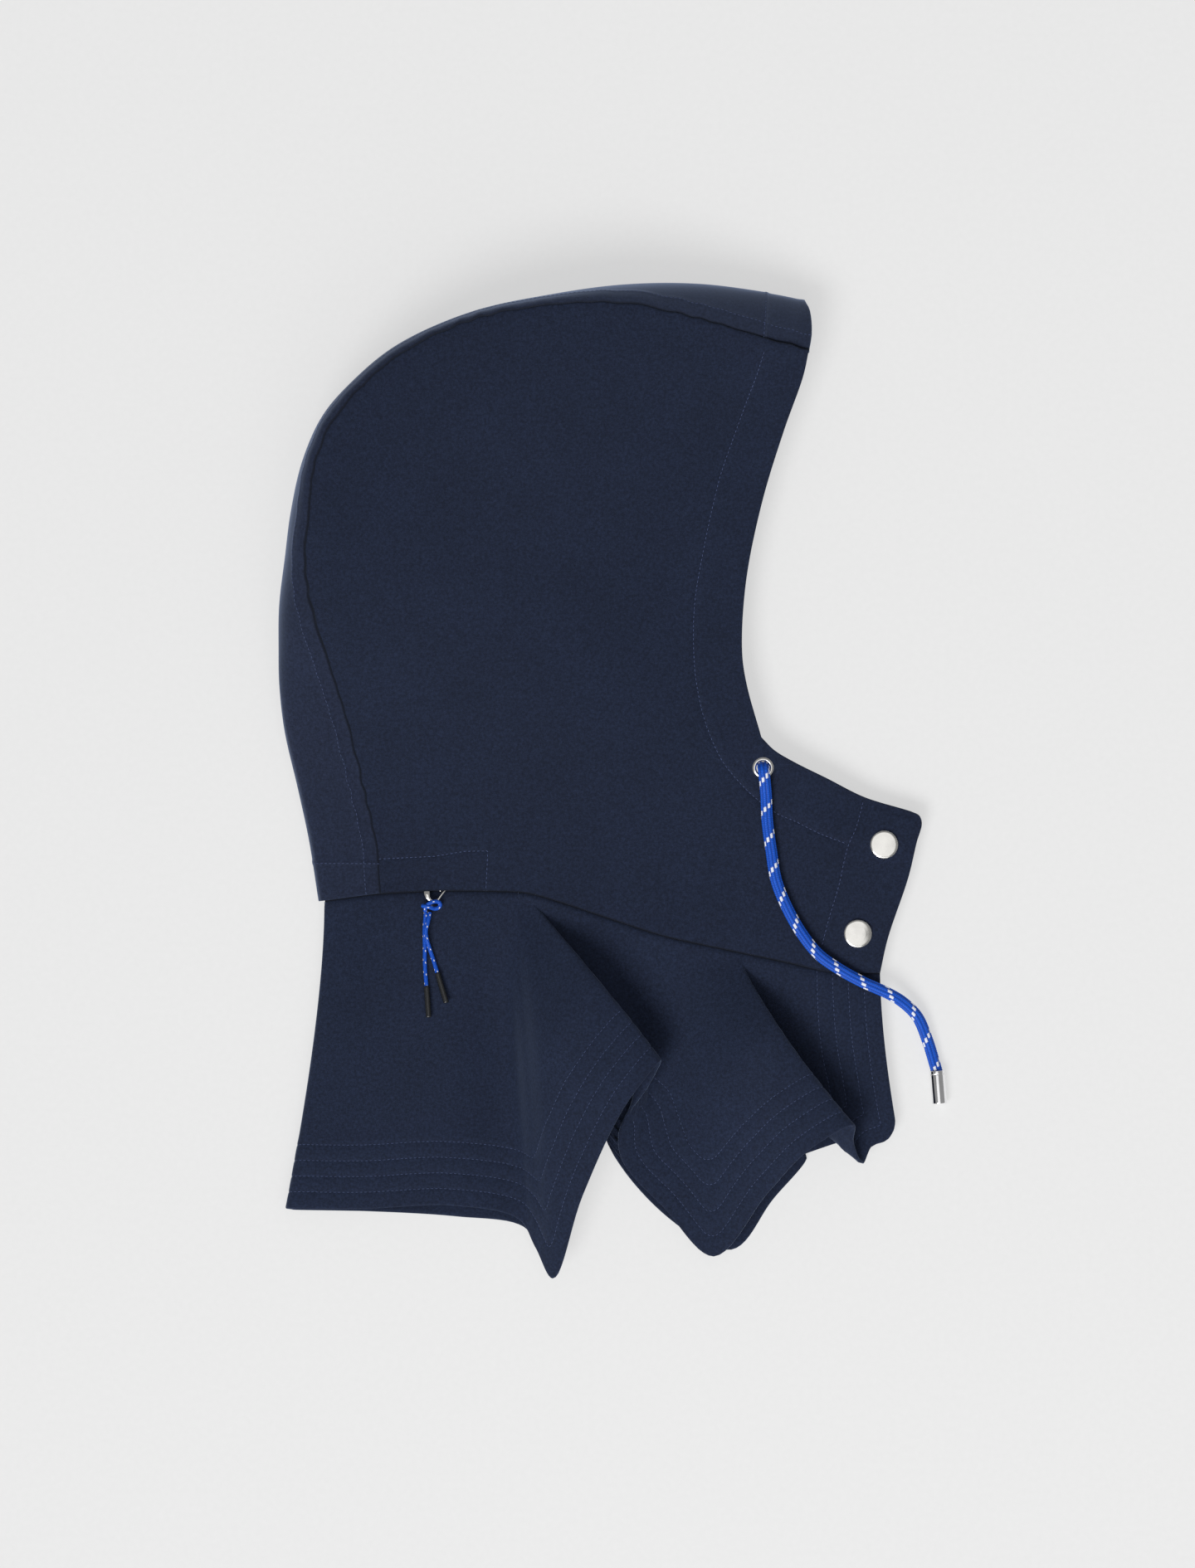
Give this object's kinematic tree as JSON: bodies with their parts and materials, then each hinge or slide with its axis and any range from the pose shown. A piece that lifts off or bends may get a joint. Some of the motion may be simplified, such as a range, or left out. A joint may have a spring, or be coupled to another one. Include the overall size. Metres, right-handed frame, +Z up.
{
  "type": "detachable hood",
  "caption": "Navy softshell hood lying folded on its side, with a crown gusset, snapped throat tab, drawcord and flared neck skirt.",
  "frame": {"origin": "on the surface that the hood lies on, under the middle of its outline without the loose cords", "axes": "+Y from the neck skirt to the crown, +X from the back of the head to the face opening, +Z up from the surface, through the left half to the right half, which lies on top"},
  "size_m": [0.3655, 0.5395, 0.0568],
  "materials": {
    "cloth": "matt twill weave",
    "zip_tape": "matt",
    "nickel": "polished",
    "cord": "braided with white flecks",
    "black_plastic": "satin"
  },
  "bodies": {
    "root": {"hood_side_right": "cloth", "hood_side_left": "cloth", "hood_gusset": "cloth", "neck_skirt": "cloth", "neck_zip": "zip_tape", "zip_slider": "nickel", "snap_cap_upper": "nickel", "snap_cap_lower": "nickel", "snap_stud_upper": "nickel", "snap_stud_lower": "nickel", "eyelet_right": "nickel", "eyelet_left": "nickel", "drawcord_end": "nickel", "drawcord": "cord", "zip_pull_knot": "cord", "zip_cord_left": "cord", "zip_cord_right": "cord", "zip_tip_left": "black_plastic", "zip_tip_right": "black_plastic"}
  },
  "joints": []
}
